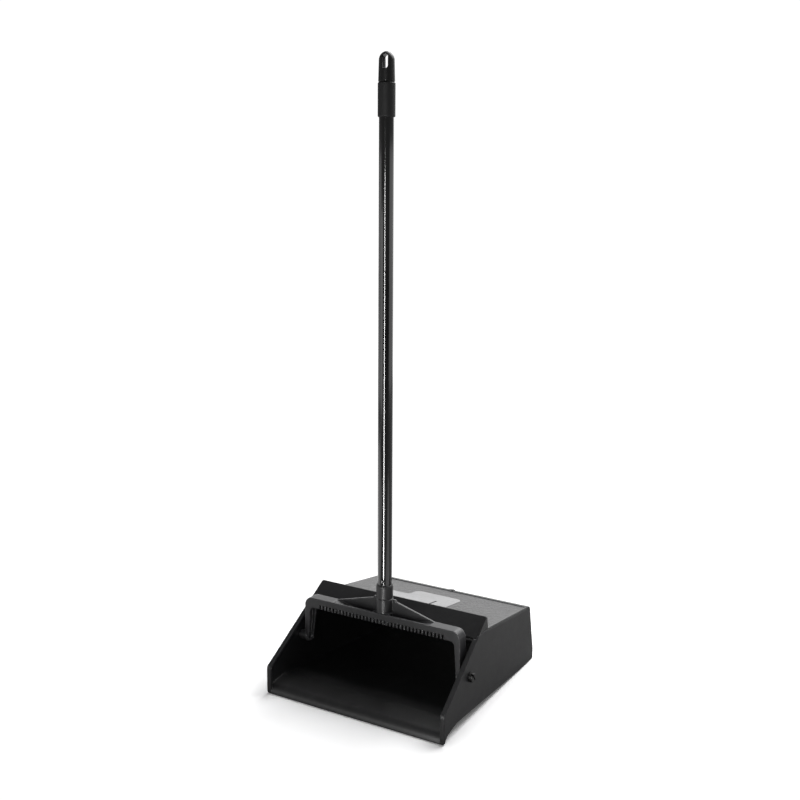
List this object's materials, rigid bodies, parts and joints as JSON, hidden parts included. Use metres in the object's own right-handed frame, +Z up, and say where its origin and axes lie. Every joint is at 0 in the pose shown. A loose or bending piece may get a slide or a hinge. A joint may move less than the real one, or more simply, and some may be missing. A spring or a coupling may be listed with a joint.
{
  "type": "long-handled dust pan",
  "caption": "Upright lobby dust pan with a closed top, a ramped mouth, a swinging yoke with a broom comb, and a long tubular handle with a hanging cap.",
  "frame": {"origin": "on the floor, at the centre of the whole object's box in X and Y", "axes": "+X across the pan to the right seen from the mouth, +Y from the mouth to the rear wall, +Z up along the handle"},
  "size_m": [0.3066, 0.3242, 0.917],
  "materials": {
    "pan_plastic": "fine satin moulding",
    "hood_plastic": "leather-grain moulded texture",
    "badge_plastic": "smooth, semi-gloss",
    "yoke_plastic": "satin",
    "pin_plastic": "satin",
    "connector_plastic": "satin",
    "tube_enamel": "gloss black enamel on steel tube",
    "sleeve_plastic": "matt moulding",
    "cap_plastic": "satin moulding"
  },
  "bodies": {
    "pan": {"pan_body": "pan_plastic", "hood_cover": "hood_plastic", "badge_plate": "badge_plastic"},
    "handle": {"yoke": "yoke_plastic", "pivot_pin_left": "pin_plastic", "pivot_pin_right": "pin_plastic", "thread_connector": "connector_plastic", "handle_tube": "tube_enamel", "end_sleeve": "sleeve_plastic"},
    "hanger": {"hanger_cap": "cap_plastic"}
  },
  "joints": [
    {"name": "yoke_pivot", "type": "hinge", "parent": "pan", "child": "handle", "pos_m": [0, -0.08271, 0.0667], "axis": [1, 0, 0], "range_deg": [0, 94]},
    {"name": "hanger_swivel", "type": "hinge", "parent": "handle", "child": "hanger", "pos_m": [0, -0.07341, 0.8774], "axis": [0, 0, 1], "continuous": true}
  ]
}
